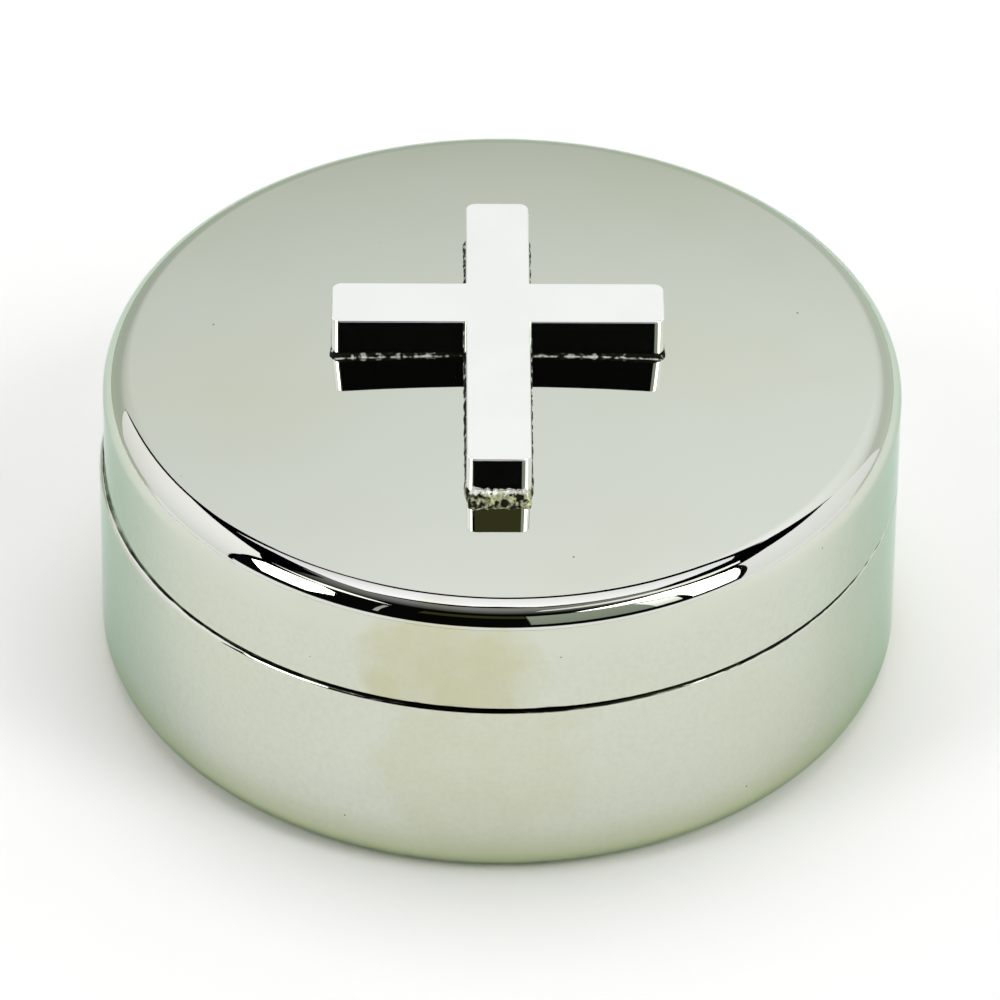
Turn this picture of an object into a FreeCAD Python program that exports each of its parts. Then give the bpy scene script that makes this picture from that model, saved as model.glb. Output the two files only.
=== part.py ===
import FreeCAD, Part
import os
import Sketcher

# Round box of plated sheet metal: a drawn cup, a sleeve soldered inside its rim, and a drawn cap
# that slips over the sleeve and carries a soldered Latin cross.
# Millimetres, +Z up, origin in the middle of the face that the box stands on.
# -Y is the side of the cross's long foot.

doc = FreeCAD.newDocument("round_box")

# Driving dimensions
sizes = (
    ("base_diameter", "80", "outside of the base cup"),
    ("base_height", "20.8", "from the standing face to the rim"),
    ("base_wall", "1.25", "sheet of the base cup"),
    ("base_corner_radius", "2.8", "outer rounding between wall and bottom"),
    ("rim_edge_radius", "0.45", "rounding of the rim's outer edge"),
    ("collar_wall", "0.8", "sheet of the sleeve"),
    ("collar_depth", "8", "length of the sleeve below the rim"),
    ("collar_rise", "6.5", "length of the sleeve above the rim"),
    ("collar_solder_gap", "0.15", "room between the sleeve and the base wall"),
    ("collar_lead_radius", "0.35", "rounding of the sleeve's upper outer edge"),
    ("collar_solder_leg", "0.7", "height of the solder under the sleeve"),
    ("lid_clearance", "0.35", "room between the sleeve and the lid's skirt"),
    ("lid_seat_share", "0.7", "share of that room by which the lid sits to +X"),
    ("lid_wall", "0.8", "sheet of the lid"),
    ("lid_height", "11.6", "from the rim to the corner where skirt and top would meet"),
    ("lid_crown", "2", "rise of the top's middle above that corner"),
    ("lid_corner_radius", "3.1", "outer rounding between skirt and top"),
    ("lid_edge_radius", "0.3", "rounding of the skirt's lower outer edge"),
    ("cross_length", "41.7", "from the end of the head to the end of the foot"),
    ("cross_span", "33", "across both arms"),
    ("cross_bar", "6.35", "width of every bar"),
    ("cross_thickness", "4", "thickness of the plate"),
    ("cross_head", "16.45", "from the end of the head to the middle of the arms"),
    ("cross_forward", "2.25", "middle of the length in front of the lid's middle"),
    ("cross_aside", "0.5", "middle of the upright to the left of the lid's middle"),
    ("cross_upright_radius", "1", "rounding of the ends' upright edges"),
    ("cross_edge_radius", "0.15", "rounding of the upper edges"),
    ("solder_film", "0.2", "thinnest solder, under the cross at the top of the crown"),
    ("solder_bead", "0.5", "width of the seam round the foot of the cross"),
    ("solder_rise", "0.35", "height of the seam up the side of the cross"),
    ("solder_slope_share", "0.8", "share of the seam that its slope takes"),
)
sheet = doc.addObject("Spreadsheet::Sheet", "Sizes")
for row, (name, number, note) in enumerate(sizes, 1):
    sheet.set(f"A{row}", name)
    sheet.set(f"B{row}", number)
    sheet.set(f"C{row}", note)
    sheet.setAlias(f"B{row}", name)
doc.recompute()

# Places that several pieces share
base_radius = "Sizes.base_diameter / 2"
base_inside = f"({base_radius} - Sizes.base_wall)"
rim_height = "Sizes.base_height"
collar_outside = f"({base_inside} - Sizes.collar_solder_gap)"
collar_inside = f"({collar_outside} - Sizes.collar_wall)"
collar_bottom = f"({rim_height} - Sizes.collar_depth)"
collar_top = f"({rim_height} + Sizes.collar_rise)"
lid_inside = f"({collar_outside} + Sizes.lid_clearance)"
lid_radius = f"({lid_inside} + Sizes.lid_wall)"
lid_corner_height = f"({rim_height} + Sizes.lid_height)"
lid_top = f"({lid_corner_height} + Sizes.lid_crown)"
lid_place = "Sizes.lid_clearance * Sizes.lid_seat_share"
crown_radius = f"(({lid_radius}) ^ 2 + Sizes.lid_crown ^ 2) / (2 * Sizes.lid_crown)"
cross_bottom = f"({lid_top} + Sizes.solder_film)"

on_axis = "0"
pick_tolerance = 0.001

# Codes by which a sketch knows the points of an edge, and its own two axes
sketch_start, sketch_end, sketch_centre = range(1, 4)
upright_axis, across_axis = range(-2, 0)
sketch_root = across_axis


def value(expression):
    """Number that an expression of the sheet's sizes gives."""
    return float(sheet.evalExpression(expression))


def new_body(label, place="0"):
    """Empty body, moved along X by an expression."""
    body = doc.addObject("PartDesign::Body", label)
    body.Label = label
    body.setExpression("Placement.Base.x", place)
    return body


def new_sketch(body, name, role, lift="0"):
    """Sketch on one of the body's own origin planes, raised along the plane's normal."""
    sketch = body.newObject("Sketcher::SketchObject", name)
    plane = next(feature for feature in body.Origin.OriginFeatures if feature.Role == role)
    sketch.AttachmentSupport = [(plane, "")]
    sketch.MapMode = "FlatFace"
    sketch.setExpression("AttachmentOffset.Base.z", lift)
    return sketch


def hold(sketch, edge, point, across, up):
    """Keeps a point of an edge at two sizes from the sketch's own axes."""
    for kind, axis, size in (("DistanceX", upright_axis, across), ("DistanceY", across_axis, up)):
        if size == on_axis:
            sketch.addConstraint(Sketcher.Constraint("PointOnObject", edge, point, axis))
        else:
            rule = Sketcher.Constraint(kind, sketch_root, sketch_start, edge, point, value(size))
            index = sketch.addConstraint(rule)
            sketch.setExpression(f"Constraints[{index}]", size)


def join(sketch, edges):
    """Joins the end of each edge to the start of the next, all the way round."""
    for edge, following in zip(edges, edges[1:] + edges[:1]):
        rule = Sketcher.Constraint("Coincident", edge, sketch_end, following, sketch_start)
        sketch.addConstraint(rule)


def straight_outline(sketch, corners):
    """Closed outline of straight edges, with each corner held at its sizes."""
    points = [FreeCAD.Vector(value(across), value(up), 0) for across, up in corners]
    edges = []
    for start, end in zip(points, points[1:] + points[:1]):
        edges.append(sketch.addGeometry(Part.LineSegment(start, end)))
    join(sketch, edges)
    for edge, (across, up) in zip(edges, corners):
        hold(sketch, edge, sketch_start, across, up)


def turned(body, name, sketch):
    """Full turn of a profile about the upright axis."""
    feature = body.newObject("PartDesign::Revolution", name)
    feature.Profile = sketch
    feature.ReferenceAxis = (sketch, ["V_Axis"])
    feature.Angle = 360
    return feature


def raised(body, name, sketch, length):
    """Outline raised along +Z."""
    feature = body.newObject("PartDesign::Pad", name)
    feature.Profile = sketch
    feature.setExpression("Length", length)
    return feature


def eased(body, name, base, chosen, size, kind="PartDesign::Fillet", length="Radius"):
    """Fillet or chamfer on the edges of the last feature that the test picks."""
    doc.recompute()
    numbered = enumerate(base.Shape.Edges, 1)
    edges = [f"Edge{number}" for number, edge in numbered if chosen(edge)]
    feature = body.newObject(kind, name)
    feature.Base = (base, edges)
    feature.setExpression(length, size)
    return feature


def ring(radius, height):
    """Test for the round edge of one radius at one height."""
    wanted = (value(radius), value(height))

    def chosen(edge):
        if edge.Degenerated or not isinstance(edge.Curve, Part.Circle):
            return False
        found = (edge.Curve.Radius, edge.Curve.Center.z)
        return all(abs(a - b) < pick_tolerance for a, b in zip(found, wanted))

    return chosen


def level(height):
    """Test for every edge that lies in one level plane."""
    wanted = value(height)
    return lambda edge: all(abs(v.Point.z - wanted) < pick_tolerance for v in edge.Vertexes)


# Base cup: drawn from one sheet, with the same thickness in wall and bottom
base_cup = new_body("base_cup")
base_profile = new_sketch(base_cup, "base_profile", "XZ_Plane")
straight_outline(base_profile, (
    (on_axis, on_axis),
    (base_radius, on_axis),
    (base_radius, rim_height),
    (base_inside, rim_height),
    (base_inside, "Sizes.base_wall"),
    (on_axis, "Sizes.base_wall"),
))
base_turn = turned(base_cup, "base_turn", base_profile)
base_corner = eased(base_cup, "base_corner", base_turn, ring(base_radius, on_axis),
                    "Sizes.base_corner_radius")
base_inner_corner = eased(base_cup, "base_inner_corner", base_corner,
                          ring(base_inside, "Sizes.base_wall"),
                          "Sizes.base_corner_radius - Sizes.base_wall")
eased(base_cup, "rim_edge", base_inner_corner, ring(base_radius, rim_height),
      "Sizes.rim_edge_radius")

# Collar ring: the sleeve inside the rim that guides the lid
collar_ring = new_body("collar_ring")
collar_profile = new_sketch(collar_ring, "collar_profile", "XZ_Plane")
straight_outline(collar_profile, (
    (collar_inside, collar_bottom),
    (collar_outside, collar_bottom),
    (collar_outside, collar_top),
    (collar_inside, collar_top),
))
collar_turn = turned(collar_ring, "collar_turn", collar_profile)
eased(collar_ring, "collar_lead", collar_turn, ring(collar_outside, collar_top),
      "Sizes.collar_lead_radius")

# Collar solder: sloping ring in the corner between the sleeve's lower edge and the base wall
collar_solder = new_body("collar_solder")
collar_solder_profile = new_sketch(collar_solder, "collar_solder_profile", "XZ_Plane")
straight_outline(collar_solder_profile, (
    (base_inside, f"{collar_bottom} - Sizes.collar_solder_leg"),
    (base_inside, collar_bottom),
    (collar_inside, collar_bottom),
))
turned(collar_solder, "collar_solder_turn", collar_solder_profile)

# Lid shell: drawn cap with a crowned top, resting on the rim and a little to one side
lid_shell = new_body("lid_shell", lid_place)
lid_profile = new_sketch(lid_shell, "lid_profile", "XZ_Plane")
crown_centre = FreeCAD.Vector(0, value(f"{lid_top} - {crown_radius}"), 0)


def crown_arc(start, end):
    """Arc of the crown between two points of the profile, counter-clockwise."""
    circle = Part.Circle(crown_centre, FreeCAD.Vector(0, 0, 1), (end - crown_centre).Length)
    return Part.ArcOfCircle(circle, circle.parameter(start), circle.parameter(end))


def lid_point(across, up):
    return FreeCAD.Vector(value(across), value(up), 0)


lid_under = f"({lid_top} - Sizes.lid_wall)"
lid_inner_reach = f"({crown_radius} - Sizes.lid_wall)"
lid_inner_corner_height = (f"({lid_top} - {crown_radius}"
                           f" + sqrt({lid_inner_reach} ^ 2 - {lid_inside} ^ 2))")
top_middle = lid_point(on_axis, lid_top)
top_corner = lid_point(lid_radius, lid_corner_height)
skirt_outer_foot = lid_point(lid_radius, rim_height)
skirt_inner_foot = lid_point(lid_inside, rim_height)
under_corner = lid_point(lid_inside, lid_inner_corner_height)
under_middle = lid_point(on_axis, lid_under)
lid_edges = [lid_profile.addGeometry(shape) for shape in (
    Part.LineSegment(skirt_inner_foot, skirt_outer_foot),
    Part.LineSegment(skirt_outer_foot, top_corner),
    crown_arc(top_corner, top_middle),
    Part.LineSegment(top_middle, under_middle),
    crown_arc(under_corner, under_middle),
    Part.LineSegment(under_corner, skirt_inner_foot),
)]
foot, skirt, crown, middle, under, skirt_inside = lid_edges
for edge, end, following, start in (
    (foot, sketch_end, skirt, sketch_start),
    (skirt, sketch_end, crown, sketch_start),
    (crown, sketch_end, middle, sketch_start),
    (middle, sketch_end, under, sketch_end),
    (under, sketch_start, skirt_inside, sketch_start),
    (skirt_inside, sketch_end, foot, sketch_start),
    (crown, sketch_centre, under, sketch_centre),
):
    lid_profile.addConstraint(Sketcher.Constraint("Coincident", edge, end, following, start))
rule = Sketcher.Constraint("PointOnObject", crown, sketch_centre, upright_axis)
lid_profile.addConstraint(rule)
hold(lid_profile, foot, sketch_start, lid_inside, rim_height)
hold(lid_profile, skirt, sketch_start, lid_radius, rim_height)
hold(lid_profile, crown, sketch_start, lid_radius, lid_corner_height)
hold(lid_profile, middle, sketch_start, on_axis, lid_top)
hold(lid_profile, middle, sketch_end, on_axis, lid_under)
lid_profile.addConstraint(Sketcher.Constraint("Vertical", skirt_inside))
lid_turn = turned(lid_shell, "lid_turn", lid_profile)
lid_corner = eased(lid_shell, "lid_corner", lid_turn, ring(lid_radius, lid_corner_height),
                   "Sizes.lid_corner_radius")
lid_inner_corner = eased(lid_shell, "lid_inner_corner", lid_corner,
                         ring(lid_inside, lid_inner_corner_height),
                         "Sizes.lid_corner_radius - Sizes.lid_wall")
eased(lid_shell, "lid_edge", lid_inner_corner, ring(lid_radius, rim_height),
      "Sizes.lid_edge_radius")


# Cross: one plate with its foot towards -Y, flat underneath
cross_head_end = "Sizes.cross_length / 2 - Sizes.cross_forward"
cross_foot_end = "-Sizes.cross_length / 2 - Sizes.cross_forward"
cross_left_end = "-Sizes.cross_aside - Sizes.cross_span / 2"
cross_right_end = "-Sizes.cross_aside + Sizes.cross_span / 2"


def cross_corners(margin):
    """The twelve corners of the cross's outline, moved outwards by a margin."""
    half_bar = f"(Sizes.cross_bar / 2 + {margin})"
    left = f"-Sizes.cross_aside - {half_bar}"
    right = f"-Sizes.cross_aside + {half_bar}"
    back = f"{cross_head_end} - Sizes.cross_head + {half_bar}"
    front = f"{cross_head_end} - Sizes.cross_head - {half_bar}"
    left_end = f"{cross_left_end} - {margin}"
    right_end = f"{cross_right_end} + {margin}"
    head_end = f"{cross_head_end} + {margin}"
    foot_end = f"{cross_foot_end} - {margin}"
    return (
        (left, foot_end), (right, foot_end), (right, front), (right_end, front),
        (right_end, back), (right, back), (right, head_end), (left, head_end),
        (left, back), (left_end, back), (left_end, front), (left, front),
    )


def at_an_end(edge):
    """Test for the upright edges at the four ends of the cross."""
    low, high = (vertex.Point for vertex in edge.Vertexes)
    if abs(high.z - low.z) < pick_tolerance:
        return False
    gaps = [low.x - value(end) for end in (cross_left_end, cross_right_end)]
    gaps += [low.y - value(end) for end in (cross_head_end, cross_foot_end)]
    return any(abs(gap) < pick_tolerance for gap in gaps)


cross = new_body("cross", lid_place)
cross_outline = new_sketch(cross, "cross_outline", "XY_Plane", cross_bottom)
straight_outline(cross_outline, cross_corners("0"))
cross_plate = raised(cross, "cross_plate", cross_outline, "Sizes.cross_thickness")
cross_ends = eased(cross, "cross_ends", cross_plate, at_an_end, "Sizes.cross_upright_radius")
eased(cross, "cross_edges", cross_ends, level(f"{cross_bottom} + Sizes.cross_thickness"),
      "Sizes.cross_edge_radius")

# Cross solder: fills the room between the flat cross and the crowned lid, and slopes up its sides
seam_blank = new_body("seam_blank", lid_place)
seam_outline = new_sketch(seam_blank, "seam_outline", "XY_Plane", lid_corner_height)
straight_outline(seam_outline, cross_corners("Sizes.solder_bead"))
seam_top = f"({cross_bottom} + Sizes.solder_rise)"
seam_plate = raised(seam_blank, "seam_plate", seam_outline, f"{seam_top} - {lid_corner_height}")
eased(seam_blank, "seam_slope", seam_plate, level(seam_top),
      "min(Sizes.solder_bead; Sizes.solder_rise) * Sizes.solder_slope_share",
      "PartDesign::Chamfer", "Size")
crown_ball = doc.addObject("Part::Sphere", "crown_ball")
crown_ball.setExpression("Radius", crown_radius)
crown_ball.setExpression("Placement.Base.x", lid_place)
crown_ball.setExpression("Placement.Base.z", f"{lid_top} - {crown_radius}")
seam_on_lid = doc.addObject("Part::Cut", "seam_on_lid")
seam_on_lid.Base = seam_blank
seam_on_lid.Tool = crown_ball
cross_solder = doc.addObject("Part::Cut", "cross_solder")
cross_solder.Label = "cross_solder"
cross_solder.Base = seam_on_lid
cross_solder.Tool = cross

# Every piece is whole before any file is written
doc.recompute()
failed = [item.Label for item in doc.Objects if {"Invalid", "Error"} & set(item.State)]
if failed:
    raise RuntimeError("these objects failed: " + ", ".join(failed))
nodes = (base_cup, collar_ring, collar_solder, lid_shell, cross, cross_solder)
for node in nodes:
    if node.Shape.isNull() or not node.Shape.isValid() or len(node.Shape.Solids) != 1:
        raise RuntimeError(f"{node.Label} is not one valid solid")
os.makedirs("parts", exist_ok=True)
for node in nodes:
    node.Shape.exportStep(f"parts/{node.Label}.step")
    print(f"{node.Label}: {node.Shape.Volume:.1f} cubic mm")
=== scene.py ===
import math

import bmesh
import bpy
from mathutils import Matrix, Vector, noise


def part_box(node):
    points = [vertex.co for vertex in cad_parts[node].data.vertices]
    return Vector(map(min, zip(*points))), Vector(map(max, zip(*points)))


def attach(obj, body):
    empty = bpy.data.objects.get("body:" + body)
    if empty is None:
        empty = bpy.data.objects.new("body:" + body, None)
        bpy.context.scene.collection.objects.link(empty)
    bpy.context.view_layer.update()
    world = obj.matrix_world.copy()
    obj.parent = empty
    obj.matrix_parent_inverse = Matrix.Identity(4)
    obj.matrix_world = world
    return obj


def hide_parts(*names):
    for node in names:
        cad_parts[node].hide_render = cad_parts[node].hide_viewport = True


# Round lidded box of plated metal with a raised Latin cross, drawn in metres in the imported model's frame:
# +Z up, the middle of the standing face at the origin, the long foot of the cross towards -Y.
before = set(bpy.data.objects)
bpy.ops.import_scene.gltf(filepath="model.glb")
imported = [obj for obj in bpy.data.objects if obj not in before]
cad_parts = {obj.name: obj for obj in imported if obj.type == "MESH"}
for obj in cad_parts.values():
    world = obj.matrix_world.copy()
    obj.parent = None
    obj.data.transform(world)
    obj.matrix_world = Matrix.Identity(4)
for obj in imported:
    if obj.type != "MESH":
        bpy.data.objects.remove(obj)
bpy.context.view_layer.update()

# Base cup: the lower half of the box, one sheet of brass drawn into a cup with a rounded corner.
# Its outside is buffed to a mirror and nickel plated; the inside keeps the rings of the turning tool.
mm = 0.001
base_low, base_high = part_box("base_cup")
base_radius = min(base_high.x, -base_low.x)
rim_height = base_high.z
base_wall = 1.25 * mm
base_corner = 2.8 * mm
rim_edge = 0.45 * mm
eased_edge = 0.1 * mm
base_inside = base_radius - base_wall
base_inner_corner = base_corner - base_wall

turn_steps = 160
ring_gap = 1.2 * mm
arc_step = 2.25
merge_distance = 0.001 * mm
sharp_angle = math.radians(40)
flat_weight = 100


def turned(start, path):
    """Mesh turned about the upright axis from an outline of (radius, height) points. A step of the path
    is a point to run straight to, or a (radius, height, degrees) centre to swing round."""
    bm = bmesh.new()
    tip = bm.verts.new((start[0], 0, start[1]))
    for radius, height, *swing in path:
        if swing:
            centre = Vector((radius, 0, height))
            angle = math.radians(swing[0])
            length = abs(angle) * (tip.co - centre).length
            steps = math.ceil(max(abs(swing[0]) / arc_step, length / ring_gap))
            arc = bmesh.ops.spin(bm, geom=[tip], cent=centre, axis=(0, 1, 0), angle=angle, steps=steps)
            tip = arc["geom_last"][0]
        else:
            begin, end = tip.co.copy(), Vector((radius, 0, height))
            steps = math.ceil((end - begin).length / ring_gap)
            for step in range(1, steps + 1):
                tip = bmesh.ops.extrude_vert_indiv(bm, verts=[tip])["verts"][0]
                tip.co = begin.lerp(end, step / steps)
    outline = bm.verts[:] + bm.edges[:]
    axis = {"cent": (0, 0, 0), "axis": (0, 0, 1)}
    bmesh.ops.spin(bm, geom=outline, angle=math.tau, steps=turn_steps, use_merge=True, **axis)
    bmesh.ops.remove_doubles(bm, verts=bm.verts, dist=merge_distance)
    bmesh.ops.recalc_face_normals(bm, faces=bm.faces)
    return bm


def mark_inside(bm, opening_height):
    """Gives the second material to the faces that look towards the opening's middle or lie level with it."""
    opening = Vector((0, 0, opening_height))
    for face in bm.faces:
        face.material_index = int(face.normal.dot(face.calc_center_median() - opening) < merge_distance)


def shown(name, bm, *materials):
    """Object of a finished mesh, smooth but for its sharp edges, with flat stretches shaded flat."""
    for face in bm.faces:
        face.smooth = True
    for edge in bm.edges:
        edge.smooth = not edge.is_manifold or edge.calc_face_angle() < sharp_angle
    mesh = bpy.data.meshes.new(name)
    bm.to_mesh(mesh)
    bm.free()
    for material in materials:
        mesh.materials.append(material)
    piece = bpy.data.objects.new(name, mesh)
    bpy.context.scene.collection.objects.link(piece)
    shading = piece.modifiers.new("even_shading", "WEIGHTED_NORMAL")
    shading.weight = flat_weight
    shading.keep_sharp = True
    return piece


def linear(colour):
    """Linear RGBA of an sRGB hex colour."""
    parts = [int(colour[digit:digit + 2], 16) / 255 for digit in (1, 3, 5)]
    return [p / 12.92 if p <= 0.04045 else ((p + 0.055) / 1.055) ** 2.4 for p in parts] + [1.0]


def in_use(sockets, name=None):
    """First socket that the node's settings leave in use, of that name if one is given."""
    return next(socket for socket in sockets if socket.enabled and name in (None, socket.name))


def add(tree, kind, inputs, **settings):
    """New node with its settings, and each input set to a value or linked from a node or a socket."""
    node = tree.nodes.new(kind)
    for name, setting in settings.items():
        setattr(node, name, setting)
    for name, given in inputs.items():
        socket = node.inputs[name] if isinstance(name, int) else in_use(node.inputs, name)
        if isinstance(given, bpy.types.Node):
            given = in_use(given.outputs)
        if isinstance(given, bpy.types.NodeSocket):
            tree.links.new(given, socket)
        else:
            socket.default_value = given
    return node


def new_finish(name):
    """Material with its node tree, its shader and its Object coordinates."""
    material = bpy.data.materials.new(name)
    material.use_nodes = True
    tree = material.node_tree
    shader = tree.nodes["Principled BSDF"]
    place = add(tree, "ShaderNodeTexCoord", {}).outputs["Object"]
    return material, tree, shader, place


# Tarnish on nickel: the plate's pale green-grey goes warmer in wide soft clouds and in one ragged stain
# in front. Just above the table it goes olive and darker, partly tarnish, partly painted shade of the
# table's shadow close to the box.
nickel = "#D2D6CA"
tarnish = "#C4C4A3"
low_tarnish_and_shade = "#B4BD93"
low_tarnish_and_shade_rise = 7 * mm
cloud_width = 26 * mm
cloud_noise = {"From Min": 0.4, "From Max": 0.8}
cloud_strength = 0.32
stain_grain = 4 * mm
stain_raggedness = 0.6
stain_edge = {"From Min": 1.4, "From Max": 0.95}
mottle_noise = {"From Min": 0.65, "From Max": 0.4}
mottle_least = 0.7


def tarnished_and_shaded(tree, place, stain_middle, stain_reach, stain_depth):
    """Nickel's colour with its tarnish and, near the foot, painted shade. The stain lies round stain_middle,
    stain_reach wide each way.
    """
    clouds = add(tree, "ShaderNodeTexNoise", {"Vector": place, "Scale": 1 / cloud_width, "Detail": 2.0})
    cloudy = add(tree, "ShaderNodeMapRange", {"Value": clouds, **cloud_noise, "To Max": cloud_strength})
    aside = add(tree, "ShaderNodeVectorMath", {0: place, 1: stain_middle}, operation="SUBTRACT")
    share = add(tree, "ShaderNodeVectorMath", {0: aside, 1: stain_reach}, operation="DIVIDE")
    away = add(tree, "ShaderNodeVectorMath", {0: share}, operation="LENGTH")
    grain = add(tree, "ShaderNodeTexNoise", {"Vector": place, "Scale": 1 / stain_grain, "Detail": 5.0})
    ragged = add(tree, "ShaderNodeMath", {0: grain, 1: stain_raggedness, 2: away}, operation="MULTIPLY_ADD")
    stain = add(tree, "ShaderNodeMapRange", {"Value": ragged, **stain_edge, "To Max": stain_depth},
                interpolation_type="SMOOTHSTEP")
    mottle = add(tree, "ShaderNodeMapRange", {"Value": grain, **mottle_noise, "To Min": mottle_least})
    mottled = add(tree, "ShaderNodeMath", {0: stain, 1: mottle}, operation="MULTIPLY")
    patches = add(tree, "ShaderNodeMath", {0: mottled, 1: cloudy}, operation="MAXIMUM")
    plate = add(tree, "ShaderNodeMix",
                {"Factor": patches, "A": linear(nickel), "B": linear(tarnish)}, data_type="RGBA")
    # Darker and olive towards the foot: partly tarnish, partly painted shade of the table's shadow close to
    # the box.
    height = add(tree, "ShaderNodeSeparateXYZ", {0: place}).outputs["Z"]
    low = add(tree, "ShaderNodeMapRange",
              {"Value": height, "From Min": low_tarnish_and_shade_rise, "From Max": 0.0}, interpolation_type="SMOOTHSTEP")
    return add(tree, "ShaderNodeMix",
               {"Factor": low, "A": plate, "B": linear(low_tarnish_and_shade)}, data_type="RGBA")


# Specks and pits: fine dull specks on the walls, which fade out under the lid's shoulder, and here and
# there a dark pit in the plate.
dull_speck = "#B4B9AC"
speck_width = 0.6 * mm
speck_noise = {"From Min": 0.4, "From Max": 0.8}
speck_strength = 0.25
speck_top = rim_height + 8 * mm
speck_fade = 2 * mm
pit_colour = "#2A2A22"
pit_spacing = 4.5 * mm
pit_radius = 0.11 * mm
pit_core = 0.6


def pitted(tree, place, plate):
    """That plate's colour with its specks and pits."""
    height = add(tree, "ShaderNodeSeparateXYZ", {0: place}).outputs["Z"]
    on_wall = add(tree, "ShaderNodeMapRange",
                  {"Value": height, "From Min": speck_top, "From Max": speck_top - speck_fade,
                   "To Max": speck_strength})
    specks = add(tree, "ShaderNodeTexNoise", {"Vector": place, "Scale": 1 / speck_width, "Detail": 4.0})
    dulled = add(tree, "ShaderNodeMapRange", {"Value": specks, **speck_noise, "To Max": on_wall})
    speckled = add(tree, "ShaderNodeMix",
                   {"Factor": dulled, "A": plate, "B": linear(dull_speck)}, data_type="RGBA")
    cells = add(tree, "ShaderNodeTexVoronoi", {"Vector": place, "Scale": 1 / pit_spacing})
    pits = add(tree, "ShaderNodeMapRange",
               {"Value": cells, "From Min": pit_radius / pit_spacing,
                "From Max": pit_core * pit_radius / pit_spacing})
    return add(tree, "ShaderNodeMix",
               {"Factor": pits, "A": speckled, "B": linear(pit_colour)}, data_type="RGBA")


# Painted shade in the joint: a black line of painted shade for the narrow gap between lid and base, widest
# in front and fading far round on the right. It follows the lid's lower edge, so the lid's place is read
# here already.
gap_shade_black = "#16150E"
gap_shade_reach = 0.32 * mm
side_gap_shade_reach = 0.21 * mm
gap_shade_patch = 2.5 * mm
gap_shade_density = 2.5
noise_mean = 0.5
front_share = 0.9
right_fade_share = 0.8
right_fade = 0.4
joint_depth = 0.05 * mm
lid_low, lid_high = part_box("lid_shell")
lid_middle = (lid_low.x + lid_high.x) / 2
lid_radius = (lid_high.x - lid_low.x) / 2


def joint_blackened(tree, place, plate):
    """That plate's colour with the joint's black painted shade, by its distance from the lid's lower edge.
    """
    parts = add(tree, "ShaderNodeSeparateXYZ", {0: place})
    from_lid = add(tree, "ShaderNodeVectorMath", {0: place, 1: (lid_middle, 0, 0)}, operation="SUBTRACT")
    level = add(tree, "ShaderNodeVectorMath", {0: from_lid, 1: (1, 1, 0)}, operation="MULTIPLY")
    radius = add(tree, "ShaderNodeVectorMath", {0: level}, operation="LENGTH")
    section = add(tree, "ShaderNodeCombineXYZ", {"X": radius, "Z": parts.outputs["Z"]})
    joint = (lid_radius - joint_depth, 0, rim_height - joint_depth)
    joint_gap = add(tree, "ShaderNodeVectorMath", {0: section, 1: joint}, operation="DISTANCE")
    lumps = add(tree, "ShaderNodeTexNoise", {"Vector": place, "Scale": 1 / gap_shade_patch, "Detail": 3.0})
    widest = add(tree, "ShaderNodeMapRange",
                 {"Value": parts.outputs["Y"],
                  "From Min": -front_share * lid_radius, "From Max": -lid_radius,
                  "To Min": side_gap_shade_reach / noise_mean, "To Max": gap_shade_reach / noise_mean})
    faded = add(tree, "ShaderNodeMapRange",
               {"Value": parts.outputs["X"], "From Min": right_fade_share * lid_radius, "From Max": lid_radius,
                "To Min": 1.0, "To Max": right_fade})
    even = add(tree, "ShaderNodeMath", {0: widest, 1: faded}, operation="MULTIPLY")
    reach = add(tree, "ShaderNodeMath", {0: lumps, 1: even}, operation="MULTIPLY")
    # The joint's black is painted shade of the narrow gap, reaching this far from the lid's lower edge.
    gap_shaded = add(tree, "ShaderNodeMapRange",
                 {"Value": joint_gap, "From Min": reach, "From Max": 0.0, "To Max": gap_shade_density})
    return add(tree, "ShaderNodeMix",
               {"Factor": gap_shaded, "A": plate, "B": linear(gap_shade_black)}, data_type="RGBA")


# Buffed nickel plate: a bright mirror that turns greener at a slant, a touch hazy in patches and a touch
# wavy from the buffing wheel.
nickel_aslant = "#D6E8DE"
haze_width = 11 * mm
haze_twist = 0.8
haze_noise = {"From Min": 0.4, "From Max": 0.75}
mirror_roughness = {"To Min": 0.012, "To Max": 0.035}
ripple_width = 13 * mm
ripple_height = 0.01 * mm


def buffed_nickel(name, stain_middle, stain_reach, stain_depth):
    """Nickel mirror with its tarnish, its painted shade near the foot, its pits and the joint's black line
    of painted shade.
    """
    material, tree, shader, place = new_finish(name)
    plate = tarnished_and_shaded(tree, place, stain_middle, stain_reach, stain_depth)
    tone = joint_blackened(tree, place, pitted(tree, place, plate))
    tree.links.new(in_use(tone.outputs), shader.inputs["Base Color"])
    haze = add(tree, "ShaderNodeTexNoise",
               {"Vector": place, "Scale": 1 / haze_width, "Detail": 5.0, "Distortion": haze_twist})
    gloss = add(tree, "ShaderNodeMapRange", {"Value": haze, **haze_noise, **mirror_roughness})
    tree.links.new(in_use(gloss.outputs), shader.inputs["Roughness"])
    ripple = add(tree, "ShaderNodeTexNoise", {"Vector": place, "Scale": 1 / ripple_width, "Detail": 2.0})
    wavy = add(tree, "ShaderNodeBump", {"Height": ripple, "Distance": ripple_height})
    tree.links.new(in_use(wavy.outputs), shader.inputs["Normal"])
    shader.inputs["Metallic"].default_value = 1.0
    shader.inputs["Specular Tint"].default_value = linear(nickel_aslant)
    return material


# Turned nickel: satin metal with the rings that the turning tool left inside the cup and the lid.
# The real rings are finer than a tenth of a millimetre; they are drawn coarser, so that they show.
inside_nickel = "#D4D4CC"
inside_tarnish = "#C8C6B6"
ring_spacing = 0.35 * mm
ring_height = 0.003 * mm
turned_roughness = {"To Min": 0.16, "To Max": 0.34}


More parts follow.
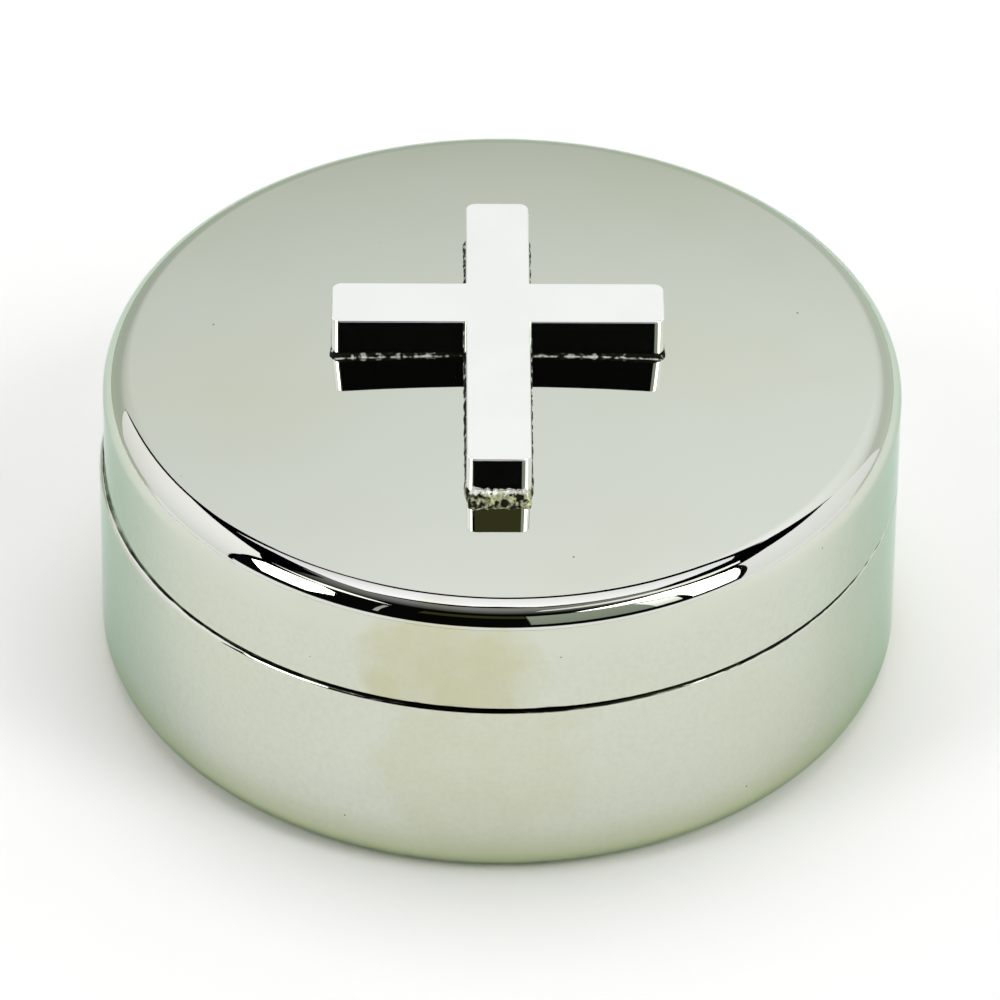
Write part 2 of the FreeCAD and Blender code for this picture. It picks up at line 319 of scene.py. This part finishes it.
def turned_nickel(name):
    """Satin nickel whose fine rings follow the radius and the height about the box's axis."""
    material, tree, shader, place = new_finish(name)
    parts = add(tree, "ShaderNodeSeparateXYZ", {0: place})
    flat = add(tree, "ShaderNodeVectorMath", {0: place, 1: (1, 1, 0)}, operation="MULTIPLY")
    radius = add(tree, "ShaderNodeVectorMath", {0: flat}, operation="LENGTH")
    section = add(tree, "ShaderNodeCombineXYZ", {"X": radius, "Z": parts.outputs["Z"]})
    rings = add(tree, "ShaderNodeTexNoise", {"Vector": section, "Scale": 1 / ring_spacing, "Detail": 3.0})
    blotches = add(tree, "ShaderNodeTexNoise", {"Vector": place, "Scale": 1 / haze_width, "Detail": 3.0})
    tone = add(tree, "ShaderNodeMix",
               {"Factor": blotches, "A": linear(inside_nickel), "B": linear(inside_tarnish)},
               data_type="RGBA")
    tree.links.new(in_use(tone.outputs), shader.inputs["Base Color"])
    satin = add(tree, "ShaderNodeMapRange", {"Value": rings, **turned_roughness})
    tree.links.new(in_use(satin.outputs), shader.inputs["Roughness"])
    grooves = add(tree, "ShaderNodeBump", {"Height": rings, "Distance": ring_height})
    tree.links.new(in_use(grooves.outputs), shader.inputs["Normal"])
    shader.inputs["Metallic"].default_value = 1.0
    return material


base_path = [
    (base_radius - base_corner, 0),
    (base_radius - base_corner, base_corner, -90),
    (base_radius, rim_height - rim_edge),
    (base_radius - rim_edge, rim_height - rim_edge, -90),
    (base_inside + eased_edge, rim_height),
    (base_inside + eased_edge, rim_height - eased_edge, -90),
    (base_inside, base_corner),
    (base_inside - base_inner_corner, base_corner, 90),
    (0, base_wall),
]
base_mesh = turned((0, 0), base_path)
mark_inside(base_mesh, rim_height)
base_stain_middle = (-2 * mm, -base_radius, rim_height - 6 * mm)
base_stain_reach = (13 * mm, 6 * mm, 13 * mm)
base_stain_depth = 0.42
base_nickel = buffed_nickel("buffed_nickel_base", base_stain_middle, base_stain_reach, base_stain_depth)
base_piece = shown("polished_base", base_mesh, base_nickel, turned_nickel("turned_nickel_inside"))
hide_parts("base_cup")
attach(base_piece, "base")

# Collar: a thin sleeve of turned brass, nickel plated, soldered inside the rim so that it stands
# proud of it and guides the lid's skirt. Its upper edge is eased to lead the lid on.
collar_low, collar_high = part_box("collar_ring")
collar_outside = collar_high.x
collar_wall = 0.8 * mm
collar_inside = collar_outside - collar_wall
collar_lead = 0.35 * mm
collar_path = [
    (collar_outside - eased_edge, collar_low.z),
    (collar_outside - eased_edge, collar_low.z + eased_edge, -90),
    (collar_outside, collar_high.z - collar_lead),
    (collar_outside - collar_lead, collar_high.z - collar_lead, -90),
    (collar_inside + eased_edge, collar_high.z),
    (collar_inside + eased_edge, collar_high.z - eased_edge, -90),
    (collar_inside, collar_low.z),
]
collar_mesh = turned((collar_inside, collar_low.z), collar_path)
collar_piece = shown("turned_collar", collar_mesh, turned_nickel("turned_nickel_collar"))
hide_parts("collar_ring")
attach(collar_piece, "base")

# Collar solder: the fillet of soft solder run round under the collar, against the base's wall.
# It is grey and a little uneven, as the iron left it, and was wiped clean.
seam_low, seam_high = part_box("collar_solder")
seam_sag = 0.12 * mm
seam_lump = 3 * mm
collar_seam_path = [
    (seam_high.x, seam_high.z),
    (collar_inside, seam_high.z),
    (seam_high.x, seam_low.z),
]
collar_seam_mesh = turned((seam_high.x, seam_low.z), collar_seam_path)

# Soft solder: grey tin that cooled in small lumps, frosted and bright where it was wiped, black-olive with
# old flux in its hollows, darkened further as painted shade.
# The mesh holds how it was wiped and lit: X is how clean, Y how much film was left on it; both also paint a
# highlight along the seam's toe and shade on the long foot's lower slope.
solder_grey = "#EAEAE4"
flux_film = "#B9BC94"
flux_and_shade_olive = "#15140A"
solder_grain = 0.6 * mm
solder_pit = 0.012 * mm
solder_specular = 0.1
bare_metallic = 0.35
flux_noise = {"From Min": 0.68, "From Max": 0.56}
frost_noise = {"From Min": 0.3, "From Max": 0.7}
frost_roughness = {"To Min": 0.5, "To Max": 0.25}
# Clean solder; and the long foot's lower slope, filmed with flux and darkened as painted shade.
fully_wiped = Vector((0.3, 0, 0))
filmed_and_shaded = Vector((0.1, 1, 0))


def soft_solder(name):
    """Frosted grey solder with flux and painted shade in its hollows, as the mesh's wiped_and_lit attribute
    says.
    """
    material, tree, shader, place = new_finish(name)
    lumps = add(tree, "ShaderNodeTexNoise", {"Vector": place, "Scale": 1 / solder_grain, "Detail": 5.0})
    wiped_and_lit = add(tree, "ShaderNodeAttribute", {}, attribute_name="wiped_and_lit").outputs["Vector"]
    parts = add(tree, "ShaderNodeSeparateXYZ", {0: wiped_and_lit})
    filmed = add(tree, "ShaderNodeMix",
                 {"Factor": parts.outputs["Y"], "A": linear(solder_grey), "B": linear(flux_film)},
                 data_type="RGBA")
    clean = add(tree, "ShaderNodeMath", {0: lumps, 1: parts.outputs["X"]}, operation="ADD")
    flux_and_shade = add(tree, "ShaderNodeMapRange", {"Value": clean, **flux_noise})
    # The olive is old flux, darkened further as painted shade.
    tone = add(tree, "ShaderNodeMix",
               {"Factor": flux_and_shade, "A": filmed, "B": linear(flux_and_shade_olive)}, data_type="RGBA")
    tree.links.new(in_use(tone.outputs), shader.inputs["Base Color"])
    frost = add(tree, "ShaderNodeMapRange", {"Value": lumps, **frost_noise, **frost_roughness})
    tree.links.new(in_use(frost.outputs), shader.inputs["Roughness"])
    pitting = add(tree, "ShaderNodeBump", {"Height": lumps, "Distance": solder_pit})
    tree.links.new(in_use(pitting.outputs), shader.inputs["Normal"])
    bare = add(tree, "ShaderNodeMapRange", {"Value": flux_and_shade, "To Min": bare_metallic, "To Max": 0.0})
    tree.links.new(in_use(bare.outputs), shader.inputs["Metallic"])
    shader.inputs["Specular IOR Level"].default_value = solder_specular
    return material


wiped_and_lit_layer = collar_seam_mesh.verts.layers.float_vector.new("wiped_and_lit")
for vert in collar_seam_mesh.verts:
    vert[wiped_and_lit_layer] = fully_wiped
    if vert.co.xy.length < seam_high.x - merge_distance and vert.co.z < seam_high.z - merge_distance:
        vert.co.z += seam_sag * noise.noise(vert.co / seam_lump)
collar_seam = shown("collar_seam", collar_seam_mesh, soft_solder("soft_solder_collar"))
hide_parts("collar_solder")
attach(collar_seam, "base")

# Lid: a drawn cap of thinner sheet with a softly domed top, buffed and nickel plated like the base.
# Its skirt slips over the collar and rests on the rim, pushed a hair to one side.
lid_wall = 0.8 * mm
lid_corner = 3.1 * mm
lid_edge = 0.3 * mm
lid_crown = 2 * mm
lid_inside = lid_radius - lid_wall
crown_radius = (lid_radius ** 2 + lid_crown ** 2) / (2 * lid_crown)
crown_centre = lid_high.z - crown_radius
corner_centre = lid_radius - lid_corner
corner_tilt = math.asin(corner_centre / (crown_radius - lid_corner))
corner_height = crown_centre + (crown_radius - lid_corner) * math.cos(corner_tilt)
crown_swing = math.degrees(corner_tilt)
lid_path = [
    (0, crown_centre, crown_swing),
    (corner_centre, corner_height, 90 - crown_swing),
    (lid_radius, lid_low.z + lid_edge),
    (lid_radius - lid_edge, lid_low.z + lid_edge, 90),
    (lid_inside + eased_edge, lid_low.z),
    (lid_inside + eased_edge, lid_low.z + eased_edge, 90),
    (lid_inside, corner_height),
    (corner_centre, corner_height, crown_swing - 90),
    (0, crown_centre, -crown_swing),
]
lid_mesh = turned((0, lid_high.z), lid_path)
mark_inside(lid_mesh, lid_low.z)
bmesh.ops.translate(lid_mesh, verts=lid_mesh.verts, vec=(lid_middle, 0, 0))
lid_stain_middle = (-6 * mm, -lid_radius, rim_height + 4 * mm)
lid_stain_reach = (11 * mm, 5 * mm, 9 * mm)
lid_stain_depth = 0.9
lid_nickel = buffed_nickel("buffed_nickel_lid", lid_stain_middle, lid_stain_reach, lid_stain_depth)
lid_piece = shown("polished_lid", lid_mesh, lid_nickel, turned_nickel("turned_nickel_lid_inside"))
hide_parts("lid_shell")
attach(lid_piece, "lid")

# Cross: cut from thick flat bar, its edges eased with a file, plated whiter than the box and buffed.
# It lies flat on the crown of the lid and is held by solder alone.
cross_low, cross_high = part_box("cross")
cross_bar = 6.35 * mm
cross_head = 16.45 * mm
upright_edge = 1.0 * mm
upper_edge = 0.15 * mm
inner_edge = 0.12 * mm
edge_segments = 6
upright_middle = (cross_low.x + cross_high.x) / 2
arms_middle = cross_high.y - cross_head


def cross_outline(grown):
    """The cross's twelve corners from above, each side moved out by grown."""
    left, right = cross_low.x - grown, cross_high.x + grown
    front, back = cross_low.y - grown, cross_high.y + grown
    half = cross_bar / 2 + grown
    inner_left, inner_right = upright_middle - half, upright_middle + half
    inner_front, inner_back = arms_middle - half, arms_middle + half
    return [
        (inner_left, front), (inner_right, front), (inner_right, inner_front), (right, inner_front),
        (right, inner_back), (inner_right, inner_back), (inner_right, back), (inner_left, back),
        (inner_left, inner_back), (left, inner_back), (left, inner_front), (inner_left, inner_front),
    ]


def standing_edges(bm):
    """Edges that run up the sides of the cross."""
    return [edge for edge in bm.edges if abs(edge.verts[0].co.z - edge.verts[1].co.z) > upper_edge]


def rounded(bm, edges, radius):
    """Rounds those edges of the mesh."""
    bmesh.ops.bevel(bm, geom=edges, offset=radius, affect="EDGES", segments=edge_segments,
                    profile=0.5, material=-1)


cross_mesh = bmesh.new()
foot_corners = [cross_mesh.verts.new((x, y, cross_low.z)) for x, y in cross_outline(0)]
foot_face = cross_mesh.faces.new(foot_corners)
raised = bmesh.ops.extrude_face_region(cross_mesh, geom=[foot_face])
raised_verts = [part for part in raised["geom"] if isinstance(part, bmesh.types.BMVert)]
bmesh.ops.translate(cross_mesh, verts=raised_verts, vec=(0, 0, cross_high.z - cross_low.z))
bmesh.ops.recalc_face_normals(cross_mesh, faces=cross_mesh.faces)
outer_edges = [edge for edge in standing_edges(cross_mesh) if edge.is_convex]
rounded(cross_mesh, outer_edges, upright_edge)
inner_edges = [edge for edge in standing_edges(cross_mesh)
               if edge.is_manifold and not edge.is_convex and edge.calc_face_angle() > sharp_angle]
rounded(cross_mesh, inner_edges, inner_edge)
top_face = max(cross_mesh.faces, key=lambda face: (face.calc_center_median().z, face.calc_area()))
rounded(cross_mesh, top_face.edges[:], upper_edge)

# Bright silver plate: whiter than the nickel, faintly clouded, and lined along the upright by the last
# polishing. The real lines are finer; they are drawn coarser, so that they show.
silver = "#FAFBF7"
silver_shade = "#F0F1EB"
shade_noise = {"From Min": 0.4, "From Max": 0.8}
shade_strength = 0.6
polish_line = 0.3 * mm
polish_length = 10 * mm
polish_height = 0.0006 * mm
line_noise = {"From Min": 0.3, "From Max": 0.8}
silver_roughness = {"To Min": 0.02, "To Max": 0.06}


def bright_silver(name):
    """Near-white silver mirror with faint tone clouds and polishing lines."""
    material, tree, shader, place = new_finish(name)
    clouds = add(tree, "ShaderNodeTexNoise", {"Vector": place, "Scale": 1 / haze_width, "Detail": 4.0})
    shade = add(tree, "ShaderNodeMapRange", {"Value": clouds, **shade_noise, "To Max": shade_strength})
    tone = add(tree, "ShaderNodeMix",
               {"Factor": shade, "A": linear(silver), "B": linear(silver_shade)}, data_type="RGBA")
    tree.links.new(in_use(tone.outputs), shader.inputs["Base Color"])
    stretched = add(tree, "ShaderNodeMapping",
                    {"Vector": place, "Scale": (1 / polish_line, 1 / polish_length, 1 / polish_line)})
    lines = add(tree, "ShaderNodeTexNoise", {"Vector": stretched, "Scale": 1.0, "Detail": 3.0})
    gloss = add(tree, "ShaderNodeMapRange", {"Value": lines, **line_noise, **silver_roughness})
    tree.links.new(in_use(gloss.outputs), shader.inputs["Roughness"])
    lined = add(tree, "ShaderNodeBump", {"Height": lines, "Distance": polish_height})
    tree.links.new(in_use(lined.outputs), shader.inputs["Normal"])
    shader.inputs["Metallic"].default_value = 1.0
    return material


cross_piece = shown("plated_cross", cross_mesh, bright_silver("bright_silver_plate"))
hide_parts("cross")
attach(cross_piece, "lid")

# Cross solder: the film under the cross and the ragged seam that was run round its foot by hand,
# heaped before the end of the long foot, wider at the tips of the arms, in small crumbs along the upright.
seam_width = 0.5 * mm
seam_step = 0.06 * mm
seam_column = 0.1 * mm
seam_rows = 11
toe_height = 0.03 * mm
arm_reach = 0.12
upright_reach = 0.45
corner_spread = 0.6
corner_reach = 0.8 * mm
foot_spread = 2.1
heap_reach = 1.4 * mm
heap_width = 0.5 * mm
heap_shift = 0.1 * mm
usual_rise = 0.06 * mm
foot_rise = 0.3 * mm
lump_size = 1.1 * mm
lump_spread = 0.4
crumb_size = 0.4 * mm
crumb_rise = 0.14 * mm
crumb_hollow = -0.3
crumb_fall = 0.5
crumb_step = 2
crumb_octaves = 3
# Near the long foot the seam's lower slope is filmed and darkened as painted shade; elsewhere its toe is
# lightened as a painted highlight.
foot_shade_fade = 3 * mm
foot_shade_rise = 0.1 * mm
toe_highlight_height = 0.07 * mm
toe_highlight = Vector((0.12, 0, 0))


def share_of(part, whole):
    """Part as a share of the whole, held between 0 and 1."""
    return min(max(part / whole, 0), 1)


def bar_distance(x, y, half_x, half_y):
    """How far outside a bar about the origin, with rounded corners, a point lies."""
    past_x, past_y = abs(x) - half_x + upright_edge, abs(y) - half_y + upright_edge
    return math.hypot(max(past_x, 0), max(past_y, 0)) + min(max(past_x, past_y), 0) - upright_edge


def outside_cross(x, y):
    """How far outside the cross's outline a point lies, negative within it."""
    length_middle = (cross_low.y + cross_high.y) / 2
    upright_out = bar_distance(x - upright_middle, y - length_middle,
                               cross_bar / 2, (cross_high.y - cross_low.y) / 2)
    arms_out = bar_distance(x - upright_middle, y - arms_middle,
                            (cross_high.x - cross_low.x) / 2, cross_bar / 2)
    return min(upright_out, arms_out)


def crown_at(x, y):
    """Height of the lid's top surface."""
    return crown_centre + math.sqrt(crown_radius ** 2 - (x - lid_middle) ** 2 - y ** 2)


def near_foot(x, y):
    """1 before the end of the long foot, falling to 0 towards its sides, sooner on the left."""
    from_left = x - upright_middle + cross_bar / 2
    from_right = upright_middle + cross_bar / 2 + heap_shift - x
    across = share_of(min(from_left, from_right), heap_width)
    return across * math.exp(-(max(y - cross_low.y, 0) / heap_reach) ** 2)


def seam_reach(x, y):
    """How far the seam spreads there, as a share of its usual width."""
    to_tip = min(abs(x - cross_low.x), abs(x - cross_high.x))
    corner = math.exp(-(math.hypot(to_tip, y - arms_middle + cross_bar / 2) / corner_reach) ** 2)
    beside_upright = abs(y - arms_middle) > cross_bar / 2 + seam_width
    along = upright_reach if beside_upright else arm_reach
    return along + corner_spread * corner + foot_spread * near_foot(x, y)


def wiped_and_lit_at(y, level, height):
    """How the seam was wiped and lit: at the long foot clean on top, and filmed and darkened as painted
    shade below; elsewhere only its toe, lightened as a painted highlight.
    """
    front = share_of(cross_low.y + foot_shade_fade - y, foot_shade_fade)
    upper = share_of(level - cross_low.z, foot_shade_rise)
    along_toe = share_of(2 * toe_highlight_height - height, toe_highlight_height)
    return front * filmed_and_shaded.lerp(fully_wiped, upper) + (1 - front) * along_toe * toe_highlight


seam_mesh = bmesh.new()
wiped_and_lit_layer = seam_mesh.verts.layers.float_vector.new("wiped_and_lit")
toe = [seam_mesh.verts.new((x, y, 0)) for x, y in cross_outline(seam_width)]
film = seam_mesh.faces.new(toe)
film.normal_update()
band = bmesh.ops.inset_region(seam_mesh, faces=[film], thickness=seam_width + seam_step, use_boundary=True,
                              use_even_offset=True)["faces"]
for face in band:
    sides = sorted(face.edges, key=lambda edge: edge.calc_length())[2:]
    cuts = int(sides[0].calc_length() / seam_column)
    bmesh.ops.subdivide_edges(seam_mesh, edges=sides, cuts=cuts, use_grid_fill=True)
rungs = [edge for edge in seam_mesh.edges
         if abs(outside_cross(*edge.verts[0].co.xy) - outside_cross(*edge.verts[1].co.xy)) > seam_width / 2]
bmesh.ops.subdivide_edges(seam_mesh, edges=rungs, cuts=seam_rows, use_grid_fill=True)
upper_part = bmesh.ops.extrude_face_region(seam_mesh, geom=seam_mesh.faces[:])["geom"]
upper_verts = {part for part in upper_part if isinstance(part, bmesh.types.BMVert)}
for vert in seam_mesh.verts:
    x, y, _ = vert.co
    out = outside_cross(x, y)
    level = cross_low.z
    if out > 0:
        lump = noise.noise(Vector((x, y, 0)) / lump_size)
        spread = seam_reach(x, y) * (1 + lump_spread * lump)
        reach = min(out, seam_width)
        slope = Vector((outside_cross(x + seam_step, y) - outside_cross(x - seam_step, y),
                        outside_cross(x, y + seam_step) - outside_cross(x, y - seam_step))).normalized()
        x += slope.x * (reach * spread - out)
        y += slope.y * (reach * spread - out)
        share = 1 - reach / seam_width
        rise = usual_rise + foot_rise * near_foot(x, y)
        heap = max(cross_low.z + rise * (1 + lump) - crown_at(x, y), 0) * share
        crumb = noise.fractal(Vector((x, y, heap)) / crumb_size, crumb_fall, crumb_step, crumb_octaves)
        crumbs = crumb_rise * (1 + near_foot(x, y)) * max(crumb, crumb_hollow)
        level = crown_at(x, y) + toe_height + heap + crumbs * math.sqrt(share)
    if vert not in upper_verts:
        level = crown_at(x, y)
    vert.co = (x, y, level)
    vert[wiped_and_lit_layer] = wiped_and_lit_at(y, level, level - crown_at(x, y))
bmesh.ops.recalc_face_normals(seam_mesh, faces=seam_mesh.faces)
cross_seam = shown("cross_seam", seam_mesh, soft_solder("soft_solder_cross"))
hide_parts("cross_solder")
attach(cross_seam, "lid")

# Studio floor: a plain pale table top with a matt paint, wide enough to fill every view.
# It lies a hair under the box, so that the two faces don't share a plane.
floor_half = 6.0
floor_gap = 0.02 * mm
floor_pale = "#F4F4F2"
floor_roughness = 0.8
floor_specular = 0.2
floor_mesh = bmesh.new()
bmesh.ops.create_grid(floor_mesh, x_segments=1, y_segments=1, size=floor_half)
bmesh.ops.translate(floor_mesh, verts=floor_mesh.verts, vec=(0, 0, -floor_gap))
floor_finish, _, floor_shader, _ = new_finish("matt_table")
floor_shader.inputs["Base Color"].default_value = linear(floor_pale)
floor_shader.inputs["Roughness"].default_value = floor_roughness
floor_shader.inputs["Specular IOR Level"].default_value = floor_specular
floor = shown("studio_floor", floor_mesh, floor_finish)

# Studio light: white cards, windows and dim walls round the box with unlit frames behind them, and overhead
# a softbox with an unlit rim, which only the metal mirrors, below a fill that lights only matt surfaces.
# Corners are (azimuth, elevation) in degrees seen from the box: 0 is the camera's side, + is to the right.
card_distance = 2.5
frame_distance = 3.5
fill_distance = 2.4
white = "#FFFFFF"
unlit = 0.0
window_glow = 5.2
fill_glow = 3.0


def toward(azimuth, elevation):
    """Direction from the box."""
    turn, lift = math.radians(azimuth), math.radians(elevation)
    return Vector((math.sin(turn) * math.cos(lift), -math.cos(turn) * math.cos(lift), math.sin(lift)))


def card(name, corners, colour, low_glow, high_glow, distance=card_distance):
    """Glowing sheet with those corners, from low_glow at its foot to high_glow at its top."""
    bm = bmesh.new()
    bm.faces.new([bm.verts.new(toward(*corner) * distance) for corner in corners])
    heights = [vert.co.z for vert in bm.verts]
    material = bpy.data.materials.new(name)
    material.use_nodes = True
    tree = material.node_tree
    tree.nodes.clear()
    place = add(tree, "ShaderNodeTexCoord", {}).outputs["Object"]
    parts = add(tree, "ShaderNodeSeparateXYZ", {0: place})
    glow = add(tree, "ShaderNodeMapRange",
               {"Value": parts.outputs["Z"], "From Min": min(heights), "From Max": max(heights),
                "To Min": low_glow, "To Max": high_glow})
    light = add(tree, "ShaderNodeEmission", {"Color": linear(colour), "Strength": glow})
    add(tree, "ShaderNodeOutputMaterial", {"Surface": light})
    sheet = shown(name, bm, material)
    sheet.visible_camera = False
    sheet.visible_shadow = False
    return sheet


card("left_card",
     [(-75.5, 6), (-79, 32), (-88, 51.5), (-105, 57.8), (-130, 56.4), (-150.5, 49.6), (-141, 30), (-123, 8)],
     "#FBF8FF", 1.0, 1.35)
card("left_frame",
     [(-74, 6), (-84, 54), (-100, 68), (-125, 66), (-150, 62), (-168, 58), (-170, 48.9), (-162, 49.6),
      (-157, 46.7), (-151, 41.5), (-140.5, 28.5)],
     white, unlit, unlit, frame_distance)
card("left_window",
     [(-67, 21.5), (-53, 22), (-48.5, 35), (-52, 44), (-62, 51), (-72, 50), (-80, 47), (-78, 38)],
     white, window_glow, window_glow)
card("left_strip", [(-88, 54), (-62, 52.5), (-36, 51), (-45, 55), (-66, 58)], white, 1.8, 1.8)
card("left_stand", [(-34.5, 22), (-33, 22), (-35, 46), (-36.5, 46)], white, 0.5, 0.5)
card("olive_wall", [(-25, 42), (7, 42), (7, 50), (-25, 50)], "#FFFCA8", 0.05, 0.05)
card("right_panel", [(7.5, 20), (41, 20), (41, 49), (7.5, 49)], "#DCE6DA", 0.42, 0.52)
card("right_edge", [(41, 20), (48.5, 20), (50, 36), (41, 46)], white, 1.0, 2.0)
card("right_window",
     [(51, 17), (64, 17), (78, 46), (72, 51.5), (61, 57), (42, 56), (24, 52), (42, 49), (51.5, 36)],
     white, window_glow, window_glow)
card("right_strip",
     [(14, 65), (60, 62.5), (80, 56), (90, 53), (97, 56), (75, 66), (45, 70.5), (20, 69)],
     white, 1.6, 1.0)
card("right_card", [(63.5, 8), (121, 5), (121, 44), (100, 50.5), (83, 49), (75, 37)], "#FAF8FF", 1.08, 1.22)
card("right_frame",
     [(82, 47), (121, 40), (126, 48), (136, 56), (122, 62), (104, 68), (80, 68), (62, 60)],
     white, unlit, unlit, frame_distance)
card("boom",
     [(146, 58), (163, 55), (180, 52.8), (-175, 50.2), (-169, 49.2), (-166, 60), (180, 66), (150, 63)],
     white, unlit, unlit, frame_distance)
card("softbox_rim",
     [(-90, 70), (-36, 78), (0, 81), (36, 78), (90, 70), (36, 82), (0, 87), (-36, 84), (-90, 73)],
     white, unlit, unlit)
overhead = [
    (-90, 73), (-36, 84), (0, 87), (36, 82), (90, 70), (122, 61.5), (136, 60.5), (150, 60.5), (165, 62.8),
    (180, 61.2), (-172, 58.5), (-170, 55.3), (-163, 54), (-151, 54.8), (-150.5, 59), (-139, 65), (-116, 70),
]
softbox = card("softbox", overhead, "#F5F1FF", 1.1, 1.75)
softbox.visible_diffuse = False
fill = card("overhead_fill", overhead, white, fill_glow, fill_glow, fill_distance)
fill.visible_glossy = False

# Room: a pale backdrop behind the box that brightens upwards and to the right, and on the camera's side
# a dark room with a paler ceiling, above a white strip of table.
# The backdrop's stops are (elevation, glow), and the other heights are elevations in degrees too.
backdrop_foot = "#F9FFF3"
backdrop_top = "#F8F7FF"
backdrop_stops = [
    (0, 0.74), (15, 0.67), (24, 0.69), (28, 0.83), (35, 0.97), (38, 1.02), (42, 1.05), (46, 1.09),
    (54, 1.25), (56, 1.27), (57, 0),
]
backdrop_width = {"From Min": -0.3, "From Max": 0.3}
backdrop_sides = {"To Min": 0.88, "To Max": 1.08}
backdrop_start = {"From Min": 0.22, "From Max": 0.34}
room_white = "#F6F5FC"
room_glow = 0.003
ceiling_low = 58
ceiling_high = 76
ceiling_glow = 0.33
table_end = 11
table_full = 9.5
table_glow = 1.2

world = bpy.data.worlds.new("studio_room")
bpy.context.scene.world = world
world.use_nodes = True
room = world.node_tree
room.nodes.clear()
gaze = add(room, "ShaderNodeTexCoord", {}).outputs["Generated"]
gaze_parts = add(room, "ShaderNodeSeparateXYZ", {0: gaze})
backdrop_rise = add(room, "ShaderNodeValToRGB", {"Fac": gaze_parts.outputs["Z"]})
stops = backdrop_rise.color_ramp.elements
stops.remove(stops[1])
for number, (elevation, stop_glow) in enumerate(backdrop_stops):
    stop = stops[0] if number == 0 else stops.new(toward(0, elevation).z)
    climb = elevation / backdrop_stops[-1][0]
    stop.color = [stop_glow * ((1 - climb) * low + climb * high)
                  for low, high in zip(linear(backdrop_foot), linear(backdrop_top))]
backdrop_side = add(room, "ShaderNodeMapRange",
                    {"Value": gaze_parts.outputs["X"], **backdrop_width, **backdrop_sides})
backdrop = add(room, "ShaderNodeVectorMath", {0: backdrop_rise, "Scale": backdrop_side}, operation="SCALE")
ceiling = add(room, "ShaderNodeMapRange",
              {"Value": gaze_parts.outputs["Z"], "From Min": toward(0, ceiling_low).z,
               "From Max": toward(0, ceiling_high).z, "To Min": room_glow, "To Max": ceiling_glow})
table_strip = add(room, "ShaderNodeMapRange",
                  {"Value": gaze_parts.outputs["Z"], "From Min": toward(0, table_end).z,
                   "From Max": toward(0, table_full).z, "To Max": table_glow})
front_level = add(room, "ShaderNodeMath", {0: ceiling, 1: table_strip}, operation="MAXIMUM")
front = add(room, "ShaderNodeVectorMath",
            {0: linear(room_white)[:3], "Scale": front_level}, operation="SCALE")
behind = add(room, "ShaderNodeMapRange", {"Value": gaze_parts.outputs["Y"], **backdrop_start})
surroundings = add(room, "ShaderNodeMix", {"Factor": behind, "A": front, "B": backdrop}, data_type="VECTOR")
room_light = add(room, "ShaderNodeBackground", {"Color": surroundings})
add(room, "ShaderNodeOutputWorld", {"Surface": room_light})

# Camera: a long lens at the photograph's height and side, turned a hair clockwise as the photograph is.
# Its angles are in degrees.
camera_azimuth = 0.7
camera_elevation = 38.415
camera_roll = 0.629
camera_distance = 0.96
camera_aim = Vector((0.14 * mm, 0, 15.3 * mm))
focal_pixels = 9556.4
image_pixels = 1000
sensor_width = 36
camera_data = bpy.data.cameras.new("camera")
camera_data.sensor_width = sensor_width
camera_data.lens = sensor_width * focal_pixels / image_pixels
camera = bpy.data.objects.new("camera", camera_data)
bpy.context.scene.collection.objects.link(camera)
camera_back = toward(-camera_azimuth, camera_elevation)
level_right = Vector((0, 0, 1)).cross(camera_back).normalized()
level_up = camera_back.cross(level_right)
roll = math.radians(camera_roll)
camera_right = level_right * math.cos(roll) + level_up * math.sin(roll)
camera_up = level_up * math.cos(roll) - level_right * math.sin(roll)
camera_turn = Matrix((camera_right, camera_up, camera_back)).transposed()
camera_place = Matrix.Translation(camera_aim + camera_back * camera_distance)
camera.matrix_world = camera_place @ camera_turn.to_4x4()
bpy.context.scene.camera = camera
bpy.context.scene.view_settings.view_transform = "Standard"
